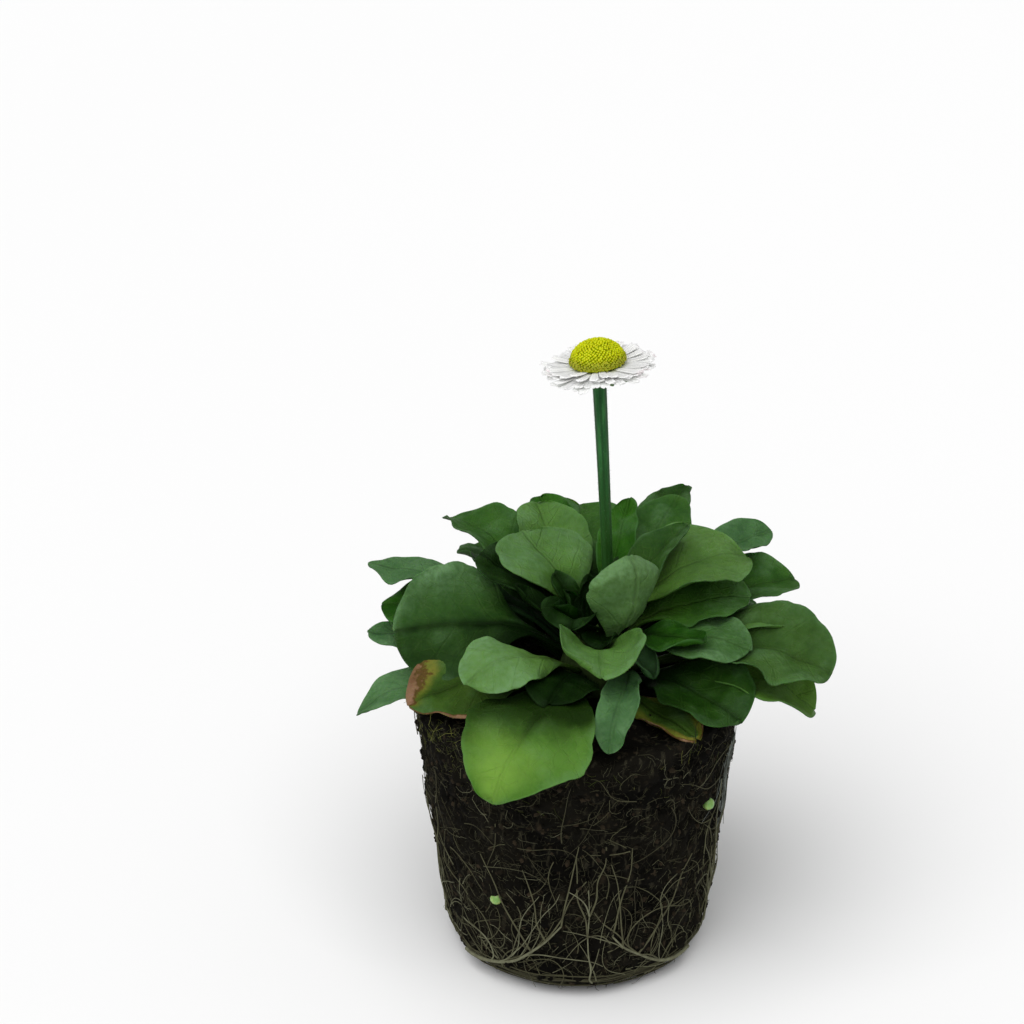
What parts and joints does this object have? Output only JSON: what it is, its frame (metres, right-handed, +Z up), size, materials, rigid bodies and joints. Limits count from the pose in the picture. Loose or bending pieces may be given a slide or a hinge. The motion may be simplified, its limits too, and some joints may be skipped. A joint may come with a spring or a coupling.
{
  "type": "english daisy plant with bare root ball",
  "caption": "English daisy plant lifted from its nursery pot: a tapered peat root ball wrapped in pale roots, a leafy rosette, and a white flower with a yellow disc on a bare stem",
  "frame": {"origin": "centre of the flat underside of the root ball, on the surface that it stands on", "axes": "+Z up through the root ball towards the flower, -Y to the front, where the long leaf hangs over the rim, +X to the right as seen from the front"},
  "size_m": [0.1277, 0.1225, 0.1756],
  "materials": {
    "peat": "dark, fibrous, damp peat",
    "root": "pale tan, dull roots",
    "fertiliser_grain": "soft green, slightly shiny beads",
    "crown": "pale green, dull",
    "flower_stem": "green with fine pale hairs",
    "bract": "green, dull",
    "ray_floret": "white, soft, faintly pink at the tips",
    "disc_floret": "bright yellow, grained",
    "leaf_pale": "pale green, slightly shiny",
    "leaf_bright": "bright green, slightly shiny",
    "leaf_mid": "green, slightly shiny",
    "leaf_blue": "blue-green, dull",
    "leaf_dark": "dark green, matte",
    "leaf_old": "yellow-green turning brown at the edge"
  },
  "bodies": {
    "root": {"root_ball": "peat", "surface_roots": "root", "fertiliser_grain_1": "fertiliser_grain", "fertiliser_grain_2": "fertiliser_grain", "crown": "crown", "flower_stem": "flower_stem", "flower_bracts": "bract", "ray_florets": "ray_floret", "disc_florets": "disc_floret", "leaf_01": "leaf_pale", "leaf_02": "leaf_old", "leaf_03": "leaf_bright", "leaf_04": "leaf_bright", "leaf_05": "leaf_mid", "leaf_06": "leaf_mid", "leaf_07": "leaf_mid", "leaf_08": "leaf_mid", "leaf_09": "leaf_blue", "leaf_10": "leaf_blue", "leaf_11": "leaf_old", "leaf_12": "leaf_mid", "leaf_13": "leaf_dark", "leaf_14": "leaf_blue", "leaf_15": "leaf_dark", "leaf_16": "leaf_pale", "leaf_17": "leaf_dark", "leaf_18": "leaf_bright", "leaf_19": "leaf_blue", "leaf_20": "leaf_mid", "leaf_21": "leaf_pale", "leaf_22": "leaf_mid", "leaf_23": "leaf_mid", "leaf_24": "leaf_mid", "leaf_25": "leaf_pale", "leaf_26": "leaf_blue", "leaf_27": "leaf_mid", "leaf_28": "leaf_bright", "leaf_29": "leaf_bright", "leaf_30": "leaf_mid", "leaf_31": "leaf_mid", "leaf_32": "leaf_blue", "leaf_33": "leaf_dark", "leaf_34": "leaf_bright", "leaf_35": "leaf_pale", "leaf_36": "leaf_mid", "leaf_37": "leaf_dark", "leaf_38": "leaf_pale", "leaf_39": "leaf_dark", "leaf_40": "leaf_mid", "leaf_41": "leaf_dark", "leaf_42": "leaf_bright", "leaf_43": "leaf_dark", "leaf_44": "leaf_mid", "leaf_45": "leaf_mid"}
  },
  "joints": []
}
